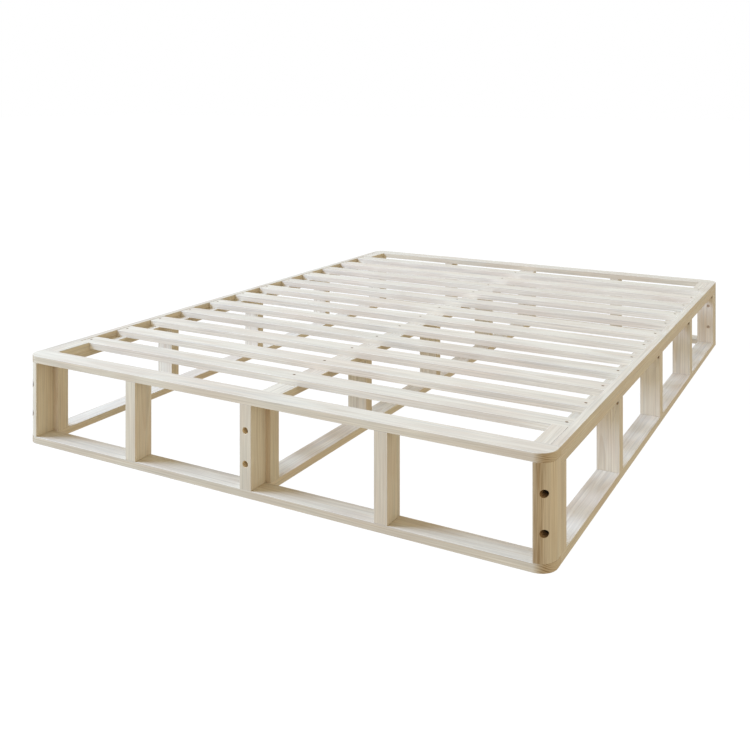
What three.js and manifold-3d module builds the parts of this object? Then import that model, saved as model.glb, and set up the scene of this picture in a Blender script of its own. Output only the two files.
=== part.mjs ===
// A knock-down wooden bed foundation: foot and head frames, two side frames and a centre frame,
// bolted together and decked with slats. Millimetres, +Z up, the head of the bed at +Y. Left and
// right are seen from the foot, so +X is right. The origin is on the floor, under the bed's middle.
import * as THREE from "three";
import { mergeVertices } from "three/addons/utils/BufferGeometryUtils.js";
import Module from "manifold-3d";

const wasm = await Module();
wasm.setup();

// ---- driving dimensions -------------------------------------------------------------------
const WIDTH = 1511; // across the bed, X
const LENGTH = 2019; // foot to head, Y
const HEIGHT = 241; // floor to the top of the frames, Z

const RAIL_THICK = 19; // top and bottom rails, strips and corner fillers
const LEDGE_THICK = 20; // the rails that the slats rest on
const SLAT_THICK = 18; // 1 mm lower than the strips beside the slats
const END_DEPTH = 60; // foot and head frame boards, along Y
const SIDE_DEPTH = 58; // side frame boards, along X
const CENTRE_DEPTH = 60; // centre frame boards, along X
const STUD_WIDTH = 33; // the narrow edge of every stud
const CORNER_POST_WIDTH = 40; // corner posts of the foot and head frames, along X
const END_POST_WIDTH = 36; // posts that the bolts reach into, along Y
const CORNER_RADIUS = 40; // plan radius of the four outer corners
const STRIP_WIDTH = 21; // strip outside the slat ends, along X

const SLAT_COUNT = 12;
const SLAT_WIDTH = 61;
const SLAT_PITCH = 146;
const SLAT_END_GAP = 0.5; // joint between a slat end and the strip
const FILLER_GAP = 0.5; // joint between a corner filler and its neighbours

const BOLT_HEIGHTS = [80, 160]; // bolt axes above the floor
const BOLT_INSET = 18; // corner bolt axes from the side of the bed
const COUNTERBORE_RADIUS = 8;
const COUNTERBORE_DEPTH = 32;
const BOLT_HOLE_RADIUS = 4.5;
const INSERT_HOLE_RADIUS = 5; // hole in a side or centre frame's end post
const SCREW_HEAD_RADIUS = 3.6; // mouth of a slat screw's countersink
const SCREW_SHANK_RADIUS = 1.8;
const COUNTERSINK_DEPTH = 3.5;
const SCREW_HOLE_DEPTH = 12;
const SCREW_INSET = 34; // outer slat screws from the side of the bed
const TOE_SCREW_RADIUS = 3; // slanting screw hole at the head of a side stud
const TOE_SCREW_INSET = 6; // its mouth from the side of the bed
const TOE_SCREW_DROP = 8; // its mouth below the ledge
const TOE_SCREW_DEPTH = 8;
const TOE_SCREW_RISE = Math.PI / 5; // its slope above level

const ARC_STEPS = 14; // facets round a quarter of an outer corner
const BOLT_HOLE_SIDES = 20;
const SCREW_HOLE_SIDES = 12;

// ---- derived levels and places -------------------------------------------------------------
const HALF_WIDTH = WIDTH / 2;
const HALF_LENGTH = LENGTH / 2;
const TOP_RAIL_BOTTOM = HEIGHT - RAIL_THICK;
const LEDGE_BOTTOM = TOP_RAIL_BOTTOM - LEDGE_THICK;
const FRAME_END = HALF_LENGTH - END_DEPTH; // where the side and centre frames meet an end frame
const CORNER_POST_MID = HALF_WIDTH - CORNER_POST_WIDTH / 2;
const END_STUD_PITCH = CORNER_POST_MID / 2;
const END_POST_MID = FRAME_END - END_POST_WIDTH / 2;
const SIDE_STUD_PITCH = END_POST_MID / 2;
const SIDE_MID = HALF_WIDTH - SIDE_DEPTH / 2;
const STRIP_INNER = HALF_WIDTH - STRIP_WIDTH;
const FIRST_SLAT = (-SLAT_PITCH * (SLAT_COUNT - 1)) / 2;

const WOOD = { color: 0xe6dfd0, roughness: 0.72, metalness: 0 };

// ---- solids -------------------------------------------------------------------------------

// A closed three.js geometry as a manifold solid.
function toSolid(geometry) {
  const bare = geometry.index ? geometry.toNonIndexed() : geometry.clone();
  bare.deleteAttribute("normal");
  bare.deleteAttribute("uv");
  const merged = mergeVertices(bare, 1e-4);
  return new wasm.Manifold(
    new wasm.Mesh({
      numProp: 3,
      vertProperties: new Float32Array(merged.attributes.position.array),
      triVerts: new Uint32Array(merged.index.array),
    }),
  );
}

// A manifold solid as a three.js geometry.
function toGeometry(solid) {
  const mesh = solid.getMesh();
  const geometry = new THREE.BufferGeometry();
  geometry.setAttribute("position", new THREE.BufferAttribute(mesh.vertProperties, 3));
  geometry.setIndex(new THREE.BufferAttribute(mesh.triVerts, 1));
  return geometry;
}

// A geometry with round holes taken out of it.
function drill(geometry, holes) {
  let solid = toSolid(geometry);
  for (const hole of holes) {
    solid = solid.subtract(toSolid(hole));
  }
  return toGeometry(solid);
}

// A hole cutter: a surface of revolution about the drill's axis. The profile lists
// [radius, depth] from the mouth inwards, and the cutter starts `over` outside the mouth.
function cutter(profile, mouth, direction, sides, over = 1) {
  const deepest = profile[profile.length - 1][1];
  const outline = [new THREE.Vector2(0, -over), new THREE.Vector2(profile[0][0], -over)];
  for (const [radius, depth] of profile) {
    outline.push(new THREE.Vector2(radius, depth));
  }
  outline.push(new THREE.Vector2(0, deepest));
  const shape = new THREE.LatheGeometry(outline, sides);
  const aim = new THREE.Quaternion().setFromUnitVectors(new THREE.Vector3(0, 1, 0), direction);
  shape.applyQuaternion(aim);
  shape.translate(...mouth);
  return shape;
}

// ---- boards -------------------------------------------------------------------------------
// Every board is built about its own middle and then put in its place, so a mesh keeps its
// position as a scene object and its holes are drilled in board coordinates.

function board(name, size, middle, holes = []) {
  const blank = new THREE.BoxGeometry(...size);
  return place(name, holes.length ? drill(blank, holes) : blank, middle);
}

function place(name, geometry, middle) {
  const mesh = new THREE.Mesh(geometry, new THREE.MeshStandardMaterial(WOOD));
  mesh.name = name;
  mesh.position.set(...middle);
  return mesh;
}

// The plan of a foot frame board between two X stations: square at the back, with the outer
// front corner rounded at each end that reaches the side of the bed. `end` is -1 at the foot
// of the bed and +1 at the head.
function endPlan(left, right, end) {
  const front = -END_DEPTH / 2;
  const back = END_DEPTH / 2;
  const plan = new THREE.Shape();
  plan.moveTo(left, back);
  if (left === -HALF_WIDTH) {
    plan.lineTo(left, front + CORNER_RADIUS);
    plan.absarc(left + CORNER_RADIUS, front + CORNER_RADIUS, CORNER_RADIUS, Math.PI, 1.5 * Math.PI);
  } else {
    plan.lineTo(left, front);
  }
  if (right === HALF_WIDTH) {
    plan.lineTo(right - CORNER_RADIUS, front);
    plan.absarc(right - CORNER_RADIUS, front + CORNER_RADIUS, CORNER_RADIUS, -0.5 * Math.PI, 0);
  } else {
    plan.lineTo(right, front);
  }
  plan.lineTo(right, back);
  const points = plan.getPoints(ARC_STEPS).map((p) => new THREE.Vector2(p.x, -end * p.y));
  return new THREE.Shape(tidyLoop(points));
}

// Drops a point that repeats the one before it, and closes the loop once.
function tidyLoop(points) {
  const kept = points.filter((p, i) => i === 0 || p.distanceTo(points[i - 1]) > 1e-6);
  if (kept[0].distanceTo(kept[kept.length - 1]) < 1e-6) {
    kept.pop();
  }
  return kept;
}

// An upright prism on that plan, from one level to another.
function endBoard(name, left, right, low, high, end, holes = []) {
  const blank = new THREE.ExtrudeGeometry(endPlan(left, right, end), {
    depth: high - low,
    bevelEnabled: false,
    curveSegments: ARC_STEPS,
  });
  const shape = holes.length ? drill(blank, holes) : blank;
  return place(name, shape, [0, end * (HALF_LENGTH - END_DEPTH / 2), low]);
}

// ---- foot and head frames -------------------------------------------------------------------

// Stepped bolt holes through an end frame's post, from its outer face towards the bed's middle.
function boltHoles(x, end, low) {
  const inward = new THREE.Vector3(0, -end, 0);
  const profile = [
    [COUNTERBORE_RADIUS, COUNTERBORE_DEPTH],
    [BOLT_HOLE_RADIUS, COUNTERBORE_DEPTH],
    [BOLT_HOLE_RADIUS, END_DEPTH + 1],
  ];
  const face = (end * END_DEPTH) / 2;
  return BOLT_HEIGHTS.map((z) => cutter(profile, [x, face, z - low], inward, BOLT_HOLE_SIDES));
}

function endFrame(label, end) {
  const low = RAIL_THICK;
  const high = TOP_RAIL_BOTTOM;
  const boltX = HALF_WIDTH - BOLT_INSET;
  const inner = HALF_WIDTH - CORNER_POST_WIDTH;
  const frame = new THREE.Group();
  frame.add(endBoard(`${label}_top_rail`, -HALF_WIDTH, HALF_WIDTH, high, HEIGHT, end));
  frame.add(endBoard(`${label}_bottom_rail`, -HALF_WIDTH, HALF_WIDTH, 0, low, end));
  const leftHoles = boltHoles(-boltX, end, low);
  const rightHoles = boltHoles(boltX, end, low);
  frame.add(endBoard(`${label}_left_corner_post`, -HALF_WIDTH, -inner, low, high, end, leftHoles));
  frame.add(endBoard(`${label}_right_corner_post`, inner, HALF_WIDTH, low, high, end, rightHoles));
  const studs = { left_stud: -END_STUD_PITCH, centre_stud: 0, right_stud: END_STUD_PITCH };
  for (const [stud, x] of Object.entries(studs)) {
    const holes = x === 0 ? boltHoles(0, end, low) : [];
    const [from, to] = [x - STUD_WIDTH / 2, x + STUD_WIDTH / 2];
    frame.add(endBoard(`${label}_${stud}`, from, to, low, high, end, holes));
  }
  return frame;
}

// ---- side and centre frames -------------------------------------------------------------------

// Straight holes along Y through an end post, in the post's own coordinates.
function insertHoles(x, postHeight, low) {
  const along = new THREE.Vector3(0, 1, 0);
  const profile = [[INSERT_HOLE_RADIUS, END_POST_WIDTH + 1]];
  const mid = low + postHeight / 2;
  const face = -END_POST_WIDTH / 2;
  return BOLT_HEIGHTS.map((z) => cutter(profile, [x, face, z - mid], along, BOLT_HOLE_SIDES));
}

// A slanting screw hole near the top of a side stud. It starts in the face that looks towards
// `facing` along Y, close to the outer edge of the bed, and rises through the stud.
function toeScrewHole(side, facing, studHeight, thick) {
  const x = side * (SIDE_DEPTH / 2 - TOE_SCREW_INSET);
  const direction = new THREE.Vector3(0, -facing * Math.cos(TOE_SCREW_RISE), Math.sin(TOE_SCREW_RISE));
  const mouth = [x, (facing * thick) / 2, studHeight / 2 - TOE_SCREW_DROP];
  const profile = [[TOE_SCREW_RADIUS, TOE_SCREW_DEPTH]];
  return cutter(profile, mouth, direction, SCREW_HOLE_SIDES, TOE_SCREW_RADIUS);
}

function sideFrame(label, side) {
  const low = RAIL_THICK;
  const height = LEDGE_BOTTOM - low;
  const mid = low + height / 2;
  const x = side * SIDE_MID;
  const ledgeMid = LEDGE_BOTTOM + LEDGE_THICK / 2;
  const layerMid = TOP_RAIL_BOTTOM + RAIL_THICK / 2;
  const frame = new THREE.Group();
  frame.add(board(`${label}_bottom_rail`, [SIDE_DEPTH, 2 * FRAME_END, RAIL_THICK], [x, 0, RAIL_THICK / 2]));
  frame.add(board(`${label}_ledge_rail`, [SIDE_DEPTH, 2 * FRAME_END, LEDGE_THICK], [x, 0, ledgeMid]));
  const stripX = side * (HALF_WIDTH - STRIP_WIDTH / 2);
  frame.add(board(`${label}_outer_strip`, [STRIP_WIDTH, 2 * FRAME_END, RAIL_THICK], [stripX, 0, layerMid]));

  const fillerWidth = SIDE_DEPTH - STRIP_WIDTH - FILLER_GAP;
  const fillerX = side * (STRIP_INNER - FILLER_GAP - fillerWidth / 2);
  const fillerStart = -FIRST_SLAT + SLAT_WIDTH / 2 + FILLER_GAP;
  const fillerSize = [fillerWidth, FRAME_END - fillerStart, RAIL_THICK];
  const boltX = side * (HALF_WIDTH - BOLT_INSET - SIDE_MID);
  for (const [name, end] of [["foot", -1], ["head", 1]]) {
    const fillerY = (end * (FRAME_END + fillerStart)) / 2;
    frame.add(board(`${label}_${name}_filler`, fillerSize, [fillerX, fillerY, layerMid]));
    const holes = insertHoles(boltX, height, low);
    holes.push(toeScrewHole(side, -end, height, END_POST_WIDTH));
    const postSize = [SIDE_DEPTH, END_POST_WIDTH, height];
    frame.add(board(`${label}_${name}_end_post`, postSize, [x, end * END_POST_MID, mid], holes));
  }
  const studs = { foot_stud: -SIDE_STUD_PITCH, middle_stud: 0, head_stud: SIDE_STUD_PITCH };
  for (const [stud, y] of Object.entries(studs)) {
    const holes = [toeScrewHole(side, -1, height, STUD_WIDTH)];
    frame.add(board(`${label}_${stud}`, [SIDE_DEPTH, STUD_WIDTH, height], [x, y, mid], holes));
  }
  return frame;
}

function centreFrame() {
  const low = RAIL_THICK;
  const height = LEDGE_BOTTOM - low;
  const mid = low + height / 2;
  const frame = new THREE.Group();
  const ledgeMid = LEDGE_BOTTOM + LEDGE_THICK / 2;
  frame.add(board("centre_bottom_rail", [CENTRE_DEPTH, 2 * FRAME_END, RAIL_THICK], [0, 0, RAIL_THICK / 2]));
  frame.add(board("centre_top_rail", [CENTRE_DEPTH, 2 * FRAME_END, LEDGE_THICK], [0, 0, ledgeMid]));
  for (const [name, end] of [["foot", -1], ["head", 1]]) {
    const postSize = [CENTRE_DEPTH, END_POST_WIDTH, height];
    const holes = insertHoles(0, height, low);
    frame.add(board(`centre_${name}_end_post`, postSize, [0, end * END_POST_MID, mid], holes));
  }
  const studs = { foot_stud: -SIDE_STUD_PITCH, middle_stud: 0, head_stud: SIDE_STUD_PITCH };
  for (const [stud, y] of Object.entries(studs)) {
    frame.add(board(`centre_${stud}`, [CENTRE_DEPTH, STUD_WIDTH, height], [0, y, mid]));
  }
  return frame;
}

// ---- slats ------------------------------------------------------------------------------------

// Countersunk screw holes in the top of a slat: one over each ledge and one over the centre rail.
function slatScrewHoles() {
  const down = new THREE.Vector3(0, 0, -1);
  const profile = [
    [SCREW_HEAD_RADIUS, 0],
    [SCREW_SHANK_RADIUS, COUNTERSINK_DEPTH],
    [SCREW_SHANK_RADIUS, SCREW_HOLE_DEPTH],
  ];
  const stations = [-HALF_WIDTH + SCREW_INSET, 0, HALF_WIDTH - SCREW_INSET];
  return stations.map((x) => cutter(profile, [x, 0, SLAT_THICK / 2], down, SCREW_HOLE_SIDES));
}

function slats() {
  const deck = new THREE.Group();
  const size = [2 * (STRIP_INNER - SLAT_END_GAP), SLAT_WIDTH, SLAT_THICK];
  for (let i = 0; i < SLAT_COUNT; i += 1) {
    const name = `slat_${String(i + 1).padStart(2, "0")}`;
    const middle = [0, FIRST_SLAT + i * SLAT_PITCH, TOP_RAIL_BOTTOM + SLAT_THICK / 2];
    deck.add(board(name, size, middle, slatScrewHoles()));
  }
  return deck;
}

// ---- the bed ------------------------------------------------------------------------------------

const bed = new THREE.Group();
bed.add(endFrame("foot", -1));
bed.add(endFrame("head", 1));
bed.add(sideFrame("left", -1));
bed.add(sideFrame("right", 1));
bed.add(centreFrame());
bed.add(slats());

export default bed;
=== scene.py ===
"""Looks of the wooden bed frame: a knock-down foundation of pale pine boards, bolted and screwed together.

Everything is in metres in the CAD frame: +Z is up, the foot end is at -Y and the origin is on the floor.
"""
import math
import random
from fnmatch import fnmatch

import bmesh
import bpy
from mathutils import Matrix, Vector


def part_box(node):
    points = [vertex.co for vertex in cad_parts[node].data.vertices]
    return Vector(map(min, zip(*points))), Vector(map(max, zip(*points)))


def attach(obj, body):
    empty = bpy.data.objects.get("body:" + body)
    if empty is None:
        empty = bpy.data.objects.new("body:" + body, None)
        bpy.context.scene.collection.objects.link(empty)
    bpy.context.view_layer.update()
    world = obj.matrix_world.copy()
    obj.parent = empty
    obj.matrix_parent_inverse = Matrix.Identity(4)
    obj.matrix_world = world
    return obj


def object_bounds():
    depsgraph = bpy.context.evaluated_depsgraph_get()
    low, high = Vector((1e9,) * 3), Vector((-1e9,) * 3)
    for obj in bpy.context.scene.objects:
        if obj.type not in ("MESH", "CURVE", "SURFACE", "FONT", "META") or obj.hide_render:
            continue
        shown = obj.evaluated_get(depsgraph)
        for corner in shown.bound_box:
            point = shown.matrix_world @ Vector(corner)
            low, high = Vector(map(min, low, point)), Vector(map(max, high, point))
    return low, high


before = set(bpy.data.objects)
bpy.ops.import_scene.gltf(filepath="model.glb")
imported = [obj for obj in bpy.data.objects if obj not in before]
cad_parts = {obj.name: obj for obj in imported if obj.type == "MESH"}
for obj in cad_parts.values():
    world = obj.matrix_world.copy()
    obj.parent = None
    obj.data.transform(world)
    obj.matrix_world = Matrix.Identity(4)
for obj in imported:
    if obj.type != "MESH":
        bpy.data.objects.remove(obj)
cad_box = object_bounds()

MM = 0.001
AXES = (Vector((1, 0, 0)), Vector((0, 1, 0)), Vector((0, 0, 1)))

# Camera: level, so that upright edges stay upright, with the frame shifted down to hold the object.
CAMERA_PLACE = (1.3393, -2.7696, 0.9473)
CAMERA_TURN = math.radians(28.91)
CAMERA_LENS = 44.135
CAMERA_SHIFT = (-0.007, -0.3667)

# Studio light: two lamps, and what the floor, the ceiling and the wall at each azimuth send.
# Angles are in degrees: azimuth 0 is towards the foot end and 90 towards the bed's right.
KEY_COLOUR = (0.455, 0.615, 1.0)
KEY_POWER = 2470
KEY_SIZE = 5.28
KEY_DISTANCE = 12.0
KEY_AZIMUTH = -67
KEY_ELEVATION = 38
KEY_AIM = Vector((0, 0, 0.2))
GLOW_COLOUR = (0.55, 0.76, 1.0)
GLOW_POWER = 14
GLOW_SIZE = 1.5
GLOW_PLACE = Vector((-1.2, -3.2, 0.25))
FLOOR_LIGHT = (0.38, 0.30, 0.19)
CEILING_LIGHT = (0.455, 0.385, 0.275)
WALL_LIGHTS = {
    0: (0.43, 0.48, 0.60),
    90: (0.37, 0.32, 0.25),
    180: (0.95, 1.15, 1.30),
}
WALL_ELEVATION = 10

# Timber: its sizes, the colours of its wood, and the painted shade and painted light round its holes and
# joints
EASED_EDGE = 0.7 * MM
RING_WIDTH = 3.4 * MM
HEARTWOOD_FADE = 14 * MM
CREAM = (0.735, 0.660, 0.490)
ROSE = (0.700, 0.602, 0.440)
LATEWOOD = (0.480, 0.350, 0.195)
GREY_STREAK = (0.630, 0.577, 0.444)
HEARTWOOD = (0.455, 0.325, 0.155)
END_GRAIN = (0.690, 0.585, 0.400)
DARK_LATEWOOD = (0.300, 0.185, 0.080)
BURNISHED = (0.550, 0.420, 0.240)
EDGE_PALE = (0.800, 0.750, 0.640)
# Painted light: the lift of the faces that are painted lighter by the way they face
PAINTED_FACE_LIGHT_LIFT = (1.18, 1.23, 1.36)
# Painted shade in holes and on joint faces, and painted light in the centre studs' holes
PAINTED_HOLE_SHADE = (0.340, 0.204, 0.088)
PAINTED_HOLE_LIGHT = (0.860, 0.700, 0.440)
PAINTED_JOINT_SHADE = (0.480, 0.310, 0.125)

# Boards lighter (above 0) or darker than the rest. The foot's bottom rail is painted darker, as painted
# shade for the dimmer floor light under the bed.
TONES = {
    "foot_bottom_rail": -0.8,
    "foot_right_corner_post": 0.6,
    "head_right_corner_post": -1.6,
    "left_outer_strip": -0.8,
}

# Boards with painted light on some faces, lighter by the way those faces meet the lamps: the axis those
# faces look along, and how much light is painted on
PAINTED_LIT_FACES = {
    "slat_*": (1, 0.9),
    "foot_*_stud": (0, 0.5),
    "*_end_post": (1, 0.7),
    "left_*_stud": (1, 0.8),
    "right_*_stud": (1, 0.8),
    "left_bottom_rail": (2, 0.2),
    "right_bottom_rail": (2, 0.85),
}

# Boards cut near the tree's heart: where it lies from the board's middle, and how far the brown wood
# reaches from it
HEARTED = {"foot_right_corner_post": (Vector((26 * MM, 34 * MM, 0)), 33 * MM)}

# Bolted joints, as drilled in the CAD posts
BOLT_HEIGHTS = {"lower": 80 * MM, "upper": 160 * MM}
BOLT_INSET = 18 * MM
POST_DEPTH = 60 * MM
COUNTERBORE_DEPTH = 32 * MM
COUNTERBORE_RADIUS = 8 * MM
SLEEVE_HOLE_RADIUS = 5 * MM
BOLT_LENGTH = 55 * MM
BOLT_PITCH = 1.25 * MM
NUT_LENGTH = 24 * MM
NUT_SETBACK = 0.6 * MM
NUT_CAP = 7 * MM

# Slat and toe screws
SLAT_SCREW_INSET = 34 * MM
SLAT_SCREW_SINK = 0.7 * MM
SLAT_HOLE_RADIUS = 3.6 * MM
TOE_SCREW_INSET = 6 * MM
TOE_SCREW_DROP = 8 * MM
TOE_SCREW_RISE = math.pi / 5
TOE_SCREW_SINK = 3.5 * MM
TOE_HOLE_SHADE_RADIUS = 3.1 * MM


# ---------------------------------------------------------------- node helpers


class Tree:
    """Adds nodes to a node tree, with their settings and what feeds them."""

    def __init__(self, tree):
        self.tree = tree

    def add(self, kind, feeds=None, **settings):
        node = self.tree.nodes.new(kind)
        for name, value in settings.items():
            setattr(node, name, value)
        for socket, value in (feeds or {}).items():
            if isinstance(value, bpy.types.NodeSocket):
                self.tree.links.new(value, node.inputs[socket])
            else:
                node.inputs[socket].default_value = value
        return node

    def math(self, operation, a, b=0.0):
        return self.add("ShaderNodeMath", {0: a, 1: b}, operation=operation).outputs[0]

    def product(self, *factors):
        result = factors[0]
        for factor in factors[1:]:
            result = self.math("MULTIPLY", result, factor)
        return result

    def total(self, *terms):
        result = terms[0]
        for term in terms[1:]:
            result = self.math("ADD", result, term)
        return result

    def opposite(self, share):
        """1 where the share is 0, and 0 where it is 1."""
        return self.math("SUBTRACT", 1.0, share)

    def vector(self, operation, a, b=(0, 0, 0)):
        return self.add("ShaderNodeVectorMath", {0: a, 1: b}, operation=operation).outputs["Vector"]

    def mix(self, share, a, b, blend="MIX"):
        """A share of colour b over colour a. Each colour is a socket, or red, green and blue."""
        colours = [(*colour, 1) if isinstance(colour, tuple) else colour for colour in (a, b)]
        feeds = {0: share, 6: colours[0], 7: colours[1]}
        return self.add("ShaderNodeMix", feeds, data_type="RGBA", blend_type=blend).outputs[2]

    def ramp(self, value, low, high):
        """0 below low, 1 above high, and smooth between them."""
        node = self.add(
            "ShaderNodeMapRange",
            {"Value": value, "From Min": low, "From Max": high},
            interpolation_type="SMOOTHSTEP",
        )
        return node.outputs["Result"]

    def noise(self, vector, scale=1.0, detail=2.0, roughness=0.5):
        return self.add(
            "ShaderNodeTexNoise",
            {"Vector": vector, "Scale": scale, "Detail": detail, "Roughness": roughness},
        )

    def separate(self, vector):
        return self.add("ShaderNodeSeparateXYZ", {0: vector}).outputs

    def stretched(self, vector, across, along):
        """Place for noise drawn out along the grain: across and along are its frequencies, per metre."""
        return self.vector("MULTIPLY", vector, (across, across, along))

    def wobble(self, vector, reach):
        """A random offset across the grain, up to about half of reach either way."""
        noise = self.vector("SUBTRACT", vector, (0.5, 0.5, 0.5))
        return self.vector("MULTIPLY", noise, (reach, reach, 0.0))


def group_tree(name, inputs, outputs):
    """A node group with these sockets, and what its inputs give."""
    tree = bpy.data.node_groups.new(name, "ShaderNodeTree")
    for socket_name, kind in inputs.items():
        tree.interface.new_socket(socket_name, in_out="INPUT", socket_type="NodeSocket" + kind)
    for socket_name, kind in outputs.items():
        tree.interface.new_socket(socket_name, in_out="OUTPUT", socket_type="NodeSocket" + kind)
    t = Tree(tree)
    return t, t.add("NodeGroupInput").outputs


def new_material(name):
    material = bpy.data.materials.new(name)
    material.use_nodes = True
    material.node_tree.nodes.clear()
    return material, Tree(material.node_tree)


# ---------------------------------------------------------------- pine


def growth_rings(t, place, heart, seeded):
    """How dark a ring is, 0 to 1, and its radius: tubes round a heart that wanders along the board."""
    wander = t.noise(t.stretched(seeded, 5.0, 1.4), detail=1.5).outputs["Color"]
    ripple = t.noise(t.stretched(seeded, 60.0, 9.0), detail=1.0).outputs["Color"]
    wobble = t.vector("ADD", t.wobble(wander, 0.022), t.wobble(ripple, 0.0016))
    moved = t.vector("ADD", t.vector("ADD", place, heart), wobble)
    flat = t.vector("MULTIPLY", moved, (1.0, 1.0, 0.0))
    radius = t.add("ShaderNodeVectorMath", {0: flat}, operation="LENGTH").outputs["Value"]
    uneven = t.add("ShaderNodeTexNoise", {"W": radius, "Scale": 95.0, "Detail": 0.0}, noise_dimensions="1D")
    count = t.total(t.math("DIVIDE", radius, RING_WIDTH), t.product(uneven.outputs[0], 1.6))
    within = t.math("FRACT", count)
    late = t.product(t.ramp(within, 0.35, 0.88), t.opposite(t.ramp(within, 0.90, 1.0)))
    year = t.add("ShaderNodeTexWhiteNoise", {"W": t.math("FLOOR", count)}, noise_dimensions="1D")
    strength = t.total(t.product(year.outputs["Value"], 0.65), 0.35)
    return t.product(late, strength), radius


def edge_mask(t, place, half_size, rough):
    """1 along the board's edges: both the nearest face and the second nearest are close."""
    inside = t.vector("SUBTRACT", half_size, t.vector("ABSOLUTE", place))
    depths = t.separate(inside)
    low = t.math("MINIMUM", depths[0], depths[1])
    high = t.math("MAXIMUM", depths[0], depths[1])
    second = t.math("MAXIMUM", low, t.math("MINIMUM", high, depths[2]))
    ragged_depth = t.total(second, t.product(rough, -1.6 * MM))
    return t.opposite(t.ramp(ragged_depth, -0.2 * MM, 1.7 * MM))


def long_grain_colour(t, seeded, cloud, streak, rings, heartwood):
    """The faces along the grain: cream and rose sapwood, brown heartwood, and the rings in both."""
    band = t.noise(t.stretched(seeded, 46.0, 3.6), detail=1.5).outputs[0]
    vein = t.noise(t.stretched(seeded, 460.0, 9.0), roughness=0.6).outputs[0]
    colour = t.mix(t.ramp(cloud, 0.35, 0.68), CREAM, ROSE)
    colour = t.mix(t.product(t.ramp(band, 0.52, 0.72), 0.55), colour, GREY_STREAK)
    colour = t.mix(t.product(heartwood, 0.75), colour, HEARTWOOD)
    ring_depth = t.total(t.product(t.ramp(streak, 0.3, 0.7), 0.20), 0.24)
    ring_colour = t.mix(heartwood, LATEWOOD, DARK_LATEWOOD)
    colour = t.mix(t.product(rings, ring_depth), colour, ring_colour)
    return t.mix(t.product(t.ramp(vein, 0.48, 0.58), heartwood, 0.70), colour, DARK_LATEWOOD)


def fine_shade(t, fibre, line, streak, tone):
    """A grey to multiply the wood by: fine lines along the grain, and the board's tone."""
    lines = t.total(t.product(fibre, 0.20), t.product(streak, 0.34), t.product(line, 0.36), 0.55)
    shade = t.product(lines, t.total(t.product(tone, 0.08), 1.0))
    return t.add("ShaderNodeCombineColor", {0: shade, 1: shade, 2: shade}).outputs[0]


def end_grain_colour(t, rings, along):
    """The faces across the grain, darker where a rounded corner cuts the grain at a slant."""
    burnished = t.opposite(t.ramp(along, 0.55, 0.98))
    ring_depth = t.total(t.product(burnished, 0.65), 0.35)
    colour = t.mix(burnished, END_GRAIN, BURNISHED)
    return t.mix(t.product(t.ramp(rings, 0.10, 0.50), ring_depth), colour, DARK_LATEWOOD)


def pine_group():
    """Pine with its grain along the group's Z. Place is measured from the board's middle."""
    inputs = {
        "Place": "Vector",
        "Normal": "Vector",
        "Heart": "Vector",
        "Seed": "Vector",
        "Half Size": "Vector",
        "Tone": "Float",
        "Heartwood": "Float",
        "Painted Face Light": "Float",
        "Painted Recess": "Float",
        "Painted Recess Color": "Color",
    }
    t, given = group_tree("pine", inputs, {"Color": "Color", "Roughness": "Float", "Height": "Float"})
    place = given["Place"]
    seeded = t.vector("ADD", place, given["Seed"])
    rings, radius = growth_rings(t, place, given["Heart"], seeded)
    heartwood = t.ramp(t.math("SUBTRACT", given["Heartwood"], radius), -HEARTWOOD_FADE, HEARTWOOD_FADE)
    fibre = t.noise(t.stretched(seeded, 1500.0, 26.0), detail=3.0, roughness=0.6).outputs[0]
    line = t.noise(t.stretched(seeded, 340.0, 8.0), detail=1.0).outputs[0]
    streak = t.noise(t.stretched(seeded, 230.0, 5.0), detail=2.5).outputs[0]
    cloud = t.noise(t.stretched(seeded, 14.0, 5.0), detail=2.0).outputs[0]
    along = t.math("ABSOLUTE", t.separate(given["Normal"])[2])
    end = t.ramp(along, 0.0, 0.62)
    edges = edge_mask(t, place, given["Half Size"], cloud)

    colour = long_grain_colour(t, seeded, cloud, streak, rings, heartwood)
    # Painted light on the faces that look along a listed axis
    colour = t.mix(given["Painted Face Light"], colour, PAINTED_FACE_LIGHT_LIFT, blend="MULTIPLY")
    colour = t.mix(1.0, colour, fine_shade(t, fibre, line, streak, given["Tone"]), blend="MULTIPLY")
    colour = t.mix(t.product(end, 0.85), colour, end_grain_colour(t, rings, along))
    # Edges painted lighter all round
    colour = t.mix(t.product(edges, 0.22), colour, EDGE_PALE)
    # Painted shade in and round holes and on the end posts' joint faces, and painted light in the centre
    # studs' holes
    colour = t.mix(given["Painted Recess"], colour, given["Painted Recess Color"])
    roughness = t.total(t.product(fibre, 0.16), t.product(rings, -0.08), t.product(end, 0.12), 0.52)
    height = t.total(t.product(fibre, 0.6), t.product(rings, 0.35))
    t.add("NodeGroupOutput", {"Color": colour, "Roughness": roughness, "Height": height})
    return t.tree


PINE = pine_group()


def board_lie(name):
    """A board's middle, its half size once its long axis is turned to Z, and that turn."""
    low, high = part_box(name)
    size = high - low
    longest = max(range(3), key=lambda i: size[i])
    turn = AXES[longest].rotation_difference(AXES[2]).to_matrix()
    half = Vector([abs(x) for x in turn @ (size / 2)])
    return (low + high) / 2, half, turn.to_euler()


def heart_of(size, luck):
    """Where the tree's heart lies, across the grain: well off the board's wide face."""
    thin = 0 if size[0] < size[1] else 1
    heart = Vector((0, 0, 0))
    heart[thin] = luck.choice((-1, 1)) * luck.uniform(38, 85) * MM
    heart[1 - thin] = luck.uniform(-22, 22) * MM
    return heart


def hole_mask(t, across, along, radius, share):
    """The share of a hole's paint (painted shade in most holes, painted light in the centre studs'), in the
    hole and on its rim, from the two offsets from its axis.
    """
    distance = t.math("SQRT", t.total(t.product(across, across), t.product(along, along)))
    away = t.ramp(distance, radius + 0.05 * MM, radius + 0.5 * MM)
    return t.product(t.opposite(away), share)


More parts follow.
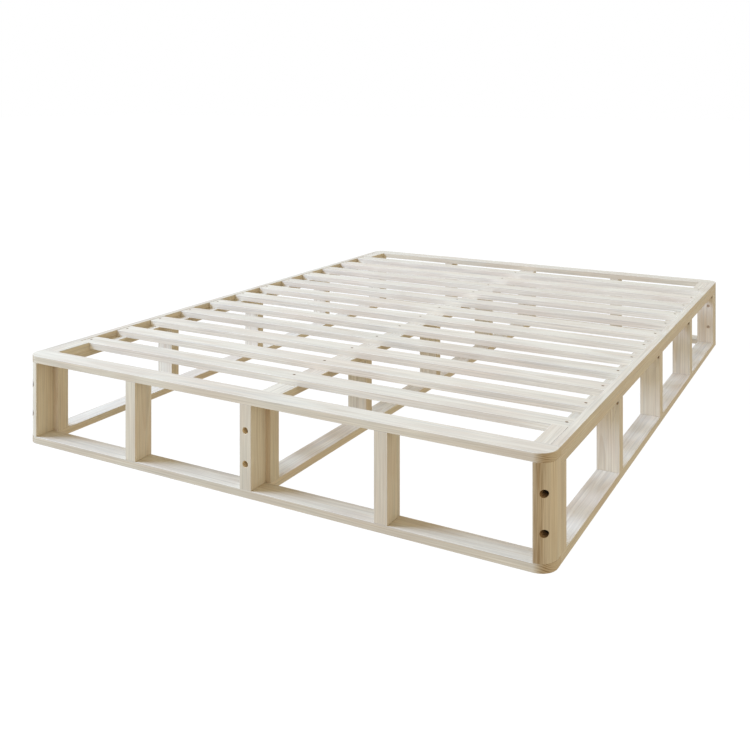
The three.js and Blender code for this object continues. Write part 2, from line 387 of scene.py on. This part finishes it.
def folded(t, value, middle, reach):
    """The offset from the nearer of two places, which lie at reach on both sides of the middle."""
    return t.math("SUBTRACT", t.math("ABSOLUTE", t.math("SUBTRACT", value, middle)), reach)


def slat_holes(t, parts, middle):
    """A slat's three screw holes, where shade is painted: one in its middle and one near each end."""
    x, y, _ = parts
    outer = t.math("ABSOLUTE", folded(t, x, 0, cad_box[1].x - SLAT_SCREW_INSET))
    nearest = t.math("MINIMUM", t.math("ABSOLUTE", x), outer)
    return hole_mask(t, nearest, t.math("SUBTRACT", y, middle.y), SLAT_HOLE_RADIUS, 0.9)


def painted_joint_shade(t, parts):
    """Painted shade on the end posts' surface next to the end frames that they are bolted to."""
    joint = cad_box[1].y - POST_DEPTH
    near = t.ramp(t.math("ABSOLUTE", parts[1]), joint - 1.5 * MM, joint - 0.2 * MM)
    return t.product(near, 0.5)


def toe_hole_shade(t, name, parts, middle):
    """Painted shade of the hole round the slanted screw in a side post, on the one face that the screw
    enters.
    """
    x, y, z = parts
    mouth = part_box("left_ledge_rail")[0].z - TOE_SCREW_DROP
    across = folded(t, x, 0, cad_box[1].x - TOE_SCREW_INSET)
    along = t.product(t.math("SUBTRACT", z, mouth), 0.7)
    hole_shade = hole_mask(t, across, along, TOE_HOLE_SHADE_RADIUS, 0.65)
    entered = "GREATER_THAN" if name.endswith("foot_end_post") else "LESS_THAN"
    return t.product(hole_shade, t.math(entered, y, middle.y))


def bolt_holes(t, name, parts):
    """Where a post's holes are painted: the two bolt holes of a post, or the two sleeve holes of an end
    post.
    """
    x, _, z = parts
    lower, upper = BOLT_HEIGHTS.values()
    across = folded(t, x, 0, 0.0 if "centre" in name else cad_box[1].x - BOLT_INSET)
    along = folded(t, z, (lower + upper) / 2, (upper - lower) / 2)
    radius = SLEEVE_HOLE_RADIUS if name.endswith("end_post") else COUNTERBORE_RADIUS
    return hole_mask(t, across, along, radius, 0.9)


def drilled(t, name, place, middle):
    """How far a board takes its painted recess colour: in and round its holes, and at its bolted joint."""
    parts = t.separate(place)
    masks = []
    if name.startswith("slat_"):
        masks.append(slat_holes(t, parts, middle))
    if name.endswith("end_post"):
        masks.append(painted_joint_shade(t, parts))
    if name.startswith(("left_", "right_")) and name.endswith(("_stud", "_end_post")):
        masks.append(toe_hole_shade(t, name, parts, middle))
    if name.endswith(("corner_post", "centre_stud", "end_post")):
        masks.append(bolt_holes(t, name, parts))
    strongest = 0.0
    for mask in masks:
        strongest = t.math("MAXIMUM", strongest, mask)
    return strongest


def painted_recess_colour(name):
    """A board's painted recess colour: painted light, pale, in the centre studs; painted shade, brown in
    the end posts and darker in the rest.
    """
    if name.endswith("centre_stud"):
        return PAINTED_HOLE_LIGHT
    return PAINTED_JOINT_SHADE if name.endswith("end_post") else PAINTED_HOLE_SHADE


def painted_face_light(t, name, normal):
    """How far a board's faces take painted light, by the axis that they look along."""
    for pattern, (axis, share) in PAINTED_LIT_FACES.items():
        if fnmatch(name, pattern):
            looks_along = t.math("ABSOLUTE", t.separate(normal)[axis])
            return t.product(t.ramp(looks_along, 0.5, 0.9), share)
    return 0.0


def cut_of(t, name):
    """What makes a board its own: its place in the tree, its tone, the painted shade and light of its holes
    and joints, and the painted light on some of its faces.
    """
    luck = random.Random("pine " + name)
    middle, half, angles = board_lie(name)
    coords = t.add("ShaderNodeTexCoord").outputs
    turned = [
        t.add(
            "ShaderNodeVectorRotate",
            {"Vector": vector, "Rotation": angles},
            rotation_type="EULER_XYZ",
        ).outputs[0]
        for vector in (t.vector("SUBTRACT", coords["Object"], middle), coords["Normal"])
    ]
    heart, heartwood = HEARTED.get(name, (heart_of(2 * half, luck), 0.0))
    seed = [luck.uniform(-40, 40) for _ in range(3)]
    return {
        "Place": turned[0],
        "Normal": turned[1],
        "Heart": heart,
        "Seed": seed,
        "Half Size": half,
        "Tone": TONES.get(name, 0.0) + luck.uniform(-0.35, 0.35),
        "Heartwood": heartwood,
        "Painted Face Light": painted_face_light(t, name, coords["Normal"]),
        "Painted Recess": drilled(t, name, coords["Object"], middle),
        "Painted Recess Color": (*painted_recess_colour(name), 1),
    }


def board_material(name):
    """Pine cut for one board, so that no two boards look alike."""
    material, t = new_material("pine_" + name)
    pine = t.add("ShaderNodeGroup", cut_of(t, name), node_tree=PINE).outputs
    bump = t.add(
        "ShaderNodeBump",
        {"Height": pine["Height"], "Strength": 0.35, "Distance": 0.25 * MM},
    )
    shader = t.add(
        "ShaderNodeBsdfPrincipled",
        {
            "Base Color": pine["Color"],
            "Roughness": pine["Roughness"],
            "Normal": bump.outputs[0],
            "IOR": 1.45,
            "Specular IOR Level": 0.35,
        },
    )
    t.add("ShaderNodeOutputMaterial", {"Surface": shader.outputs[0]})
    return material


def smooth_tree():
    """A modifier's node tree that shades its faces smooth and leaves the shape alone."""
    tree = bpy.data.node_groups.new("shade_smooth", "GeometryNodeTree")
    tree.interface.new_socket("Geometry", in_out="INPUT", socket_type="NodeSocketGeometry")
    tree.interface.new_socket("Geometry", in_out="OUTPUT", socket_type="NodeSocketGeometry")
    t = Tree(tree)
    source = t.add("NodeGroupInput")
    smooth = t.add("GeometryNodeSetShadeSmooth", {"Geometry": source.outputs[0]})
    t.add("NodeGroupOutput", {0: smooth.outputs[0]})
    return tree


SMOOTH = smooth_tree()


def ease_edges(board):
    """Takes the sharpness off a sawn board's edges, and shades its curved faces smoothly."""
    weld = board.modifiers.new("weld", "WELD")
    weld.merge_threshold = 0.01 * MM
    smooth = board.modifiers.new("smooth", "NODES")
    smooth.node_group = SMOOTH
    bevel = board.modifiers.new("eased edges", "BEVEL")
    bevel.width = EASED_EDGE
    bevel.segments = 2
    bevel.limit_method = "ANGLE"
    bevel.angle_limit = math.radians(35)
    bevel.use_clamp_overlap = False
    normals = board.modifiers.new("normals", "WEIGHTED_NORMAL")
    normals.weight = 90


def finish_boards():
    for name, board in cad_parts.items():
        material = board_material(name)
        for slot in board.material_slots:
            slot.material = material
        ease_edges(board)


# ---------------------------------------------------------------- metal


def metal_material(name, bright, dull, roughness, grime):
    """Plated or blackened steel: two tones in a fine mottle, with dark patches of grime."""
    material, t = new_material(name)
    place = t.add("ShaderNodeTexCoord").outputs["Object"]
    mottle = t.noise(place, scale=900.0, detail=3.0).outputs[0]
    patches = t.noise(place, scale=160.0, detail=2.0).outputs[0]
    colour = t.mix(t.ramp(mottle, 0.3, 0.7), bright, dull)
    colour = t.mix(t.product(t.ramp(patches, 0.5, 0.75), grime), colour, (0.10, 0.07, 0.045))
    rough = t.total(t.product(mottle, 0.25), roughness - 0.1)
    bump = t.add("ShaderNodeBump", {"Height": mottle, "Strength": 0.2, "Distance": 0.03 * MM})
    shader = t.add(
        "ShaderNodeBsdfPrincipled",
        {"Base Color": colour, "Metallic": 1.0, "Roughness": rough, "Normal": bump.outputs[0]},
    )
    t.add("ShaderNodeOutputMaterial", {"Surface": shader.outputs[0]})
    return material


BLACK_STEEL = metal_material("black_steel", (0.075, 0.068, 0.060), (0.045, 0.040, 0.036), 0.50, 0.35)
SLEEVE_ZINC = metal_material("dull_yellow_zinc", (0.78, 0.64, 0.50), (0.58, 0.46, 0.34), 0.60, 0.45)
# Yellow zinc plate, darkened with painted shade of the screw heads' recesses
SHADED_SCREW_ZINC = metal_material("yellow_zinc_painted_shade", (0.27, 0.19, 0.10), (0.16, 0.11, 0.06), 0.48, 0.6)


# ---------------------------------------------------------------- turned parts


def round_section(_angle):
    return 1.0


def hex_section(angle):
    """A hexagon of unit distance from its middle to each side."""
    return 1.0 / math.cos((angle + math.pi / 6) % (math.pi / 3) - math.pi / 6)


def cross_section(angle):
    """The mouth of a cross recess, whose arms reach 1."""
    off_arm = abs((angle + math.pi / 4) % (math.pi / 2) - math.pi / 4)
    return 1.0 if off_arm < math.pi / 11 else 0.40


def lofted(bm, sections, sides, place):
    """Skins sections of (radius, height, shape) along Z. A radius of 0 closes an end."""
    rings = []
    for radius, height, shape in sections:
        if radius == 0:
            rings.append([bm.verts.new(place @ Vector((0, 0, height)))])
            continue
        ring = []
        for i in range(sides):
            angle = 2 * math.pi * i / sides
            reach = radius * shape(angle)
            point = Vector((reach * math.cos(angle), reach * math.sin(angle), height))
            ring.append(bm.verts.new(place @ point))
        rings.append(ring)
    for lower, upper in zip(rings, rings[1:]):
        for i in range(sides):
            j = (i + 1) % sides
            corners = [
                lower[i % len(lower)],
                lower[j % len(lower)],
                upper[j % len(upper)],
                upper[i % len(upper)],
            ]
            bm.faces.new(dict.fromkeys(corners))


def thread(start, end, root, crest, pitch):
    """Sections of a thread drawn as close ridges, from one height to another."""
    count = round(abs(end - start) / pitch)
    step = (end - start) / count
    sections = []
    for i in range(count):
        sections.append((root, start + i * step, round_section))
        sections.append((crest, start + (i + 0.5) * step, round_section))
    sections.append((root, end, round_section))
    return sections


def facing(place, outward):
    """The matrix that puts a fastener's seat at place, with its head looking outward."""
    return Matrix.Translation(place) @ outward.to_track_quat("Z", "Y").to_matrix().to_4x4()


def as_piece(bm, name, material):
    """Makes a mesh piece that belongs to the frame's one body."""
    bmesh.ops.recalc_face_normals(bm, faces=bm.faces)
    mesh = bpy.data.meshes.new(name)
    bm.to_mesh(mesh)
    bm.free()
    mesh.materials.append(material)
    mesh.shade_smooth()
    mesh.set_sharp_from_angle(angle=math.radians(32))
    piece = bpy.data.objects.new(name, mesh)
    bpy.context.scene.collection.objects.link(piece)
    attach(piece, "root")
    return piece


# ---------------------------------------------------------------- fasteners


def bolt_sections():
    """An 8 mm connector bolt: pointed thread, plain neck, flanged head with a hexagon socket."""
    sections = [(0, -BOLT_LENGTH, round_section), (2.6 * MM, -BOLT_LENGTH, round_section)]
    sections += thread(-BOLT_LENGTH + 1.2 * MM, -20 * MM, 3.35 * MM, 3.95 * MM, BOLT_PITCH)
    head = [
        (3.90, -19.0, round_section),
        (3.90, -0.6, round_section),
        (4.40, 0.0, round_section),
        (7.30, 0.0, round_section),
        (7.50, 0.2, round_section),
        (7.50, 1.3, round_section),
        (7.25, 1.6, round_section),
        (6.10, 2.1, round_section),
        (5.60, 2.7, round_section),
        (5.50, 4.6, round_section),
        (5.10, 5.0, round_section),
        (2.75, 5.0, hex_section),
        (2.50, 4.7, hex_section),
        (2.50, 1.8, hex_section),
    ]
    sections += [(radius * MM, height * MM, shape) for radius, height, shape in head]
    return [*sections, (0, 1.2 * MM, round_section)]


def nut_sections():
    """A threaded sleeve, ribbed outside to grip the hole, whose capped end has a hexagon socket."""
    sections = [
        (0, -2.2 * MM, round_section),
        (2.3 * MM, -2.0 * MM, hex_section),
        (2.4 * MM, 0, hex_section),
        (4.6 * MM, 0, round_section),
    ]
    sections += thread(-0.4 * MM, -NUT_LENGTH, 4.70 * MM, 4.95 * MM, 2.0 * MM)
    sections += [(4.3 * MM, -NUT_LENGTH - 0.4 * MM, round_section)]
    sections += thread(-NUT_LENGTH, -NUT_CAP, 4.15 * MM, 4.02 * MM, BOLT_PITCH)
    return [*sections, (0, -NUT_CAP + 0.3 * MM, round_section)]


def wood_screw_sections(head_radius, neck_radius, head_height, length):
    """A countersunk wood screw whose head is flush at 0, with a cross recess."""
    neck = -head_height
    core = neck_radius * 0.72
    sections = [(0, -length, round_section), (core * 0.35, -length + 1.2 * MM, round_section)]
    sections += thread(-length + 4 * MM, neck - 4 * MM, core, neck_radius, 1.6 * MM)
    sections += [
        (neck_radius * 0.9, neck - 3.6 * MM, round_section),
        (neck_radius, neck - 0.2 * MM, round_section),
        (head_radius, -0.35 * MM, round_section),
        (head_radius, -0.08 * MM, round_section),
        (head_radius - 0.12 * MM, 0, round_section),
        (head_radius * 0.60, 0, cross_section),
        (head_radius * 0.48, -0.7 * MM, cross_section),
        (head_radius * 0.22, -1.5 * MM, cross_section),
        (0, -1.6 * MM, round_section),
    ]
    return sections


def bolted_joints():
    """Where each bolt sits: its name, its post's place in X, and the end of the bed, -1 at the foot."""
    half_width = cad_box[1].x
    places = {"left": BOLT_INSET - half_width, "centre": 0, "right": half_width - BOLT_INSET}
    for end_name, end in (("foot", -1), ("head", 1)):
        for side_name, x in places.items():
            for level, height in BOLT_HEIGHTS.items():
                yield f"{end_name}_{side_name}_{level}", x, height, end


def make_bolts():
    half_length = cad_box[1].y
    inner_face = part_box("right_head_end_post")[0].y
    for name, x, height, end in bolted_joints():
        seat = Vector((x, end * (half_length - COUNTERBORE_DEPTH + 0.05 * MM), height))
        bm = bmesh.new()
        lofted(bm, bolt_sections(), 36, facing(seat, Vector((0, end, 0))))
        as_piece(bm, name + "_bolt", BLACK_STEEL)
        mouth = Vector((x, end * (inner_face + NUT_SETBACK), height))
        bm = bmesh.new()
        lofted(bm, nut_sections(), 36, facing(mouth, Vector((0, -end, 0))))
        as_piece(bm, name + "_sleeve_nut", SLEEVE_ZINC)


def make_slat_screws():
    sections = wood_screw_sections(3.2 * MM, 1.72 * MM, 2.85 * MM, 32 * MM)
    outer = cad_box[1].x - SLAT_SCREW_INSET
    for name in sorted(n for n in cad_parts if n.startswith("slat_")):
        low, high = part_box(name)
        luck = random.Random("screws " + name)
        bm = bmesh.new()
        for x in (-outer, 0, outer):
            seat = Vector((x, (low.y + high.y) / 2, high.z - SLAT_SCREW_SINK))
            turn = Matrix.Rotation(luck.uniform(0, math.pi), 4, "Z")
            lofted(bm, sections, 32, facing(seat, AXES[2]) @ turn)
        as_piece(bm, name + "_screws", SHADED_SCREW_ZINC)


def toe_screw_faces(side):
    """The faces that the slanting screws enter: their place in Y and which way they look."""
    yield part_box(side + "_foot_end_post")[1].y, 1
    for post in ("_foot_stud", "_middle_stud", "_head_stud", "_head_end_post"):
        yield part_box(side + post)[0].y, -1


def make_toe_screws():
    sections = wood_screw_sections(2.7 * MM, 1.7 * MM, 2.6 * MM, 34 * MM)
    mouth_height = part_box("left_ledge_rail")[0].z - TOE_SCREW_DROP
    for side, sign in (("left", -1), ("right", 1)):
        bm = bmesh.new()
        for y, look in toe_screw_faces(side):
            mouth = Vector((sign * (cad_box[1].x - TOE_SCREW_INSET), y, mouth_height))
            outward = Vector((0, look * math.cos(TOE_SCREW_RISE), -math.sin(TOE_SCREW_RISE)))
            lofted(bm, sections, 32, facing(mouth - outward * TOE_SCREW_SINK, outward))
        as_piece(bm, side + "_toe_screws", SHADED_SCREW_ZINC)


# ---------------------------------------------------------------- camera, lights and stage


def make_camera():
    camera = bpy.data.objects.new("camera", bpy.data.cameras.new("camera"))
    camera.location = CAMERA_PLACE
    camera.rotation_euler = (math.pi / 2, 0, CAMERA_TURN)
    camera.data.sensor_width = 36
    camera.data.lens = CAMERA_LENS
    camera.data.shift_x, camera.data.shift_y = CAMERA_SHIFT
    camera.data.clip_end = 200
    bpy.context.scene.collection.objects.link(camera)
    bpy.context.scene.camera = camera


def towards(azimuth, elevation):
    """The direction of an azimuth and an elevation from the bed."""
    a, e = math.radians(azimuth), math.radians(elevation)
    return Vector((math.sin(a) * math.cos(e), -math.cos(a) * math.cos(e), math.sin(e)))


def make_lamp(name, place, aim, size, colour, power):
    """A round soft lamp that looks from its place at its aim."""
    lamp = bpy.data.lights.new(name, "AREA")
    lamp.shape = "DISK"
    lamp.size = size
    lamp.color = colour
    lamp.energy = power
    holder = bpy.data.objects.new(name, lamp)
    holder.location = place
    holder.rotation_euler = (aim - place).to_track_quat("-Z", "Y").to_euler()
    bpy.context.scene.collection.objects.link(holder)


def make_lamps():
    """A large cool key from the front left, and a small glow low at the left of the foot end."""
    key_place = KEY_AIM + towards(KEY_AZIMUTH, KEY_ELEVATION) * KEY_DISTANCE
    make_lamp("key", key_place, KEY_AIM, KEY_SIZE, KEY_COLOUR, KEY_POWER)
    glow_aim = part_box("foot_left_corner_post")[0]
    make_lamp("glow", GLOW_PLACE, glow_aim, GLOW_SIZE, GLOW_COLOUR, GLOW_POWER)


def make_world():
    """A studio whose floor, ceiling and walls send different light."""
    world = bpy.data.worlds.new("studio")
    world.use_nodes = True
    world.node_tree.nodes.clear()
    t = Tree(world.node_tree)
    direction = t.add("ShaderNodeTexCoord").outputs["Generated"]
    height = t.separate(direction)[2]
    light = t.mix(t.ramp(height, -0.05, 0.05), FLOOR_LIGHT, CEILING_LIGHT)
    for azimuth, colour in WALL_LIGHTS.items():
        facing_wall = t.add(
            "ShaderNodeVectorMath",
            {0: direction, 1: towards(azimuth, WALL_ELEVATION)},
            operation="DOT_PRODUCT",
        )
        glow = t.math("POWER", t.math("MAXIMUM", facing_wall.outputs["Value"], 0.0), 4.0)
        wall = t.add("ShaderNodeVectorMath", {0: colour, "Scale": glow}, operation="SCALE").outputs[0]
        light = t.vector("ADD", light, wall)
    background = t.add("ShaderNodeBackground", {"Color": light})
    t.add("ShaderNodeOutputWorld", {"Surface": background.outputs[0]})
    bpy.context.scene.world = world


def backdrop_material(name, glow, grey):
    """Its own even white, and a share of matt grey that takes light and shadow."""
    material, t = new_material(name)
    light = t.add("ShaderNodeEmission", {"Color": (glow, glow, glow, 1)})
    matt = t.add("ShaderNodeBsdfDiffuse", {"Color": (grey, grey, grey, 1)})
    both = t.add("ShaderNodeAddShader", {0: light.outputs[0], 1: matt.outputs[0]})
    t.add("ShaderNodeOutputMaterial", {"Surface": both.outputs[0]})
    return material


def stage_object(name, bm, material):
    """A part of the set: it shows to the camera and throws no light on the bed."""
    mesh = bpy.data.meshes.new(name)
    bm.to_mesh(mesh)
    bm.free()
    mesh.materials.append(material)
    piece = bpy.data.objects.new(name, mesh)
    for ray in ("diffuse", "glossy", "transmission", "volume_scatter", "shadow"):
        setattr(piece, "visible_" + ray, False)
    bpy.context.scene.collection.objects.link(piece)


def make_stage():
    floor = bmesh.new()
    bmesh.ops.create_grid(floor, x_segments=1, y_segments=1, size=40)
    bmesh.ops.translate(floor, verts=floor.verts, vec=(0, 0, -0.3 * MM))
    stage_object("floor", floor, backdrop_material("pale_floor", 1.0, 0.04))
    dome = bmesh.new()
    bmesh.ops.create_uvsphere(dome, u_segments=48, v_segments=24, radius=60)
    stage_object("backdrop", dome, backdrop_material("white_backdrop", 1.0, 0.0))


finish_boards()
make_bolts()
make_slat_screws()
make_toe_screws()
make_camera()
make_lamps()
make_world()
make_stage()
bpy.context.scene.view_settings.view_transform = "Standard"
